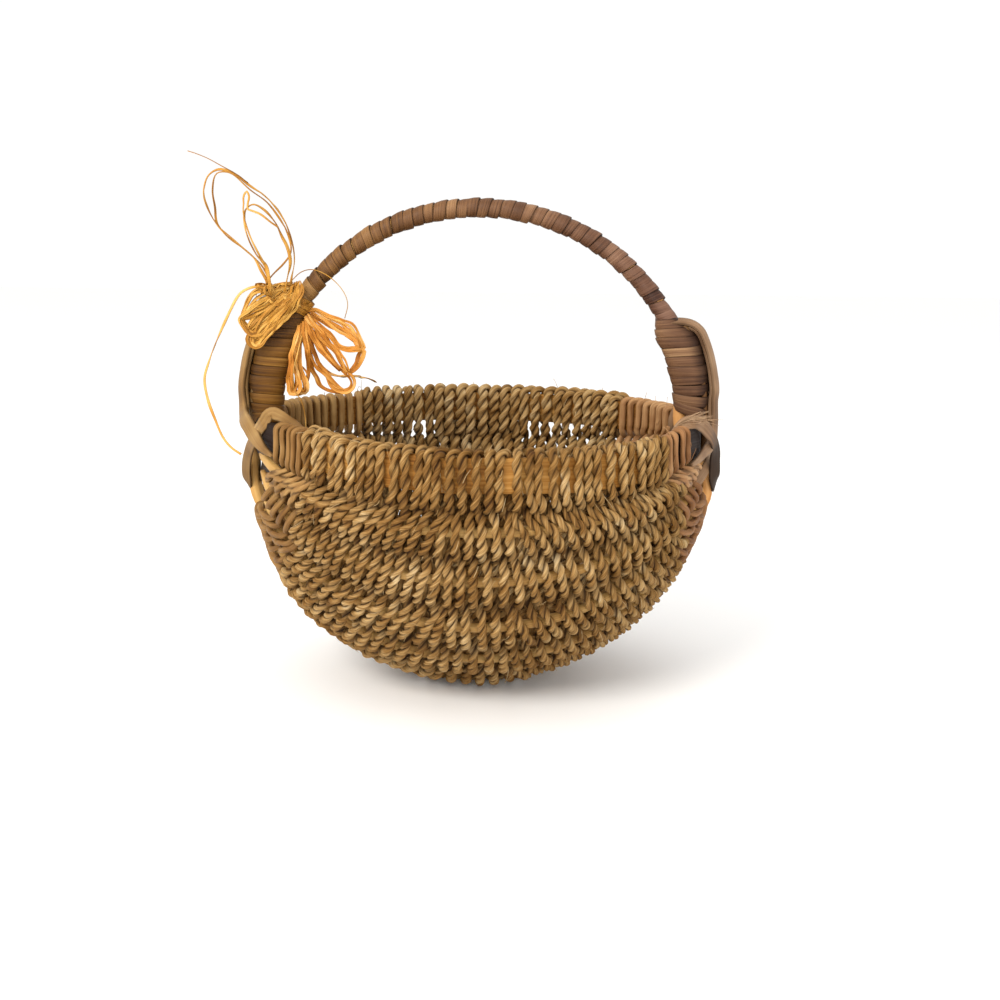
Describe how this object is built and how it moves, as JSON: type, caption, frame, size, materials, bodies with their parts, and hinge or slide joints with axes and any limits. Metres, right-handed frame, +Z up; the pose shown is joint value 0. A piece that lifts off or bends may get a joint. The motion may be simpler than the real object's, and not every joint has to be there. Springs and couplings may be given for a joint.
{
  "type": "gathering basket",
  "caption": "Round ribbed gathering basket on two crossed hoops, woven in twisted seagrass and reed, with a fixed cane-wrapped arch handle and a raffia tie.",
  "frame": {"origin": "middle of the flat foot, on the surface the basket stands on", "axes": "+Z up through the handle's top, +X to the right along the handle's span, -Y to the front; the raffia tie is on the -X shoulder"},
  "size_m": [0.257, 0.2324, 0.2575],
  "materials": {
    "rim_wood": "bare split wood, satin",
    "pale_wood": "bare pale wood and rattan pole, satin",
    "rib_reed": "bare round reed, satin",
    "cane": "flat rattan cane, satin brown",
    "seagrass": "two-ply twisted seagrass cord, dry and matt",
    "reed": "smooth round reed, satin",
    "raffia": "golden raffia strands, slightly glossy"
  },
  "bodies": {
    "basket": {"rim_hoop": "rim_wood", "keel_hoop": "pale_wood", "rib_front_1": "rib_reed", "rib_back_1": "rib_reed", "rib_front_2": "rib_reed", "rib_back_2": "rib_reed", "rib_front_3": "rib_reed", "rib_back_3": "rib_reed", "rib_front_4": "rib_reed", "rib_back_4": "rib_reed", "rib_front_5": "rib_reed", "rib_back_5": "rib_reed", "handle_bow": "pale_wood", "handle_wrap": "cane", "left_leg_wrap": "cane", "right_leg_wrap": "cane", "left_outer_splint_front": "cane", "left_outer_splint_back": "cane", "right_outer_splint_front": "cane", "right_outer_splint_back": "cane", "left_ear_lash_front": "cane", "left_ear_lash_back": "cane", "right_ear_lash_front": "cane", "right_ear_lash_back": "cane", "seagrass_weaver_1": "seagrass", "seagrass_weaver_2": "seagrass", "seagrass_weaver_3": "seagrass", "seagrass_weaver_4": "seagrass", "seagrass_weaver_5": "seagrass", "seagrass_weaver_6": "seagrass", "seagrass_weaver_7": "seagrass", "seagrass_weaver_8": "seagrass", "seagrass_weaver_9": "seagrass", "reed_weaver_left_1": "reed", "reed_weaver_left_2": "reed", "reed_weaver_right_1": "reed", "reed_weaver_right_2": "reed"},
    "raffia_tie": {"raffia_binding": "raffia", "raffia_knot": "raffia", "raffia_fan": "raffia", "raffia_tall_loop": "raffia", "raffia_inner_loop": "raffia", "raffia_tail": "raffia"}
  },
  "joints": [
    {"name": "raffia_tie_turn", "type": "hinge", "parent": "basket", "child": "raffia_tie", "pos_m": [-0.08762, 0, 0.19544], "axis": [0.5948, 0, 0.8039], "range_deg": [-10, 10]}
  ]
}
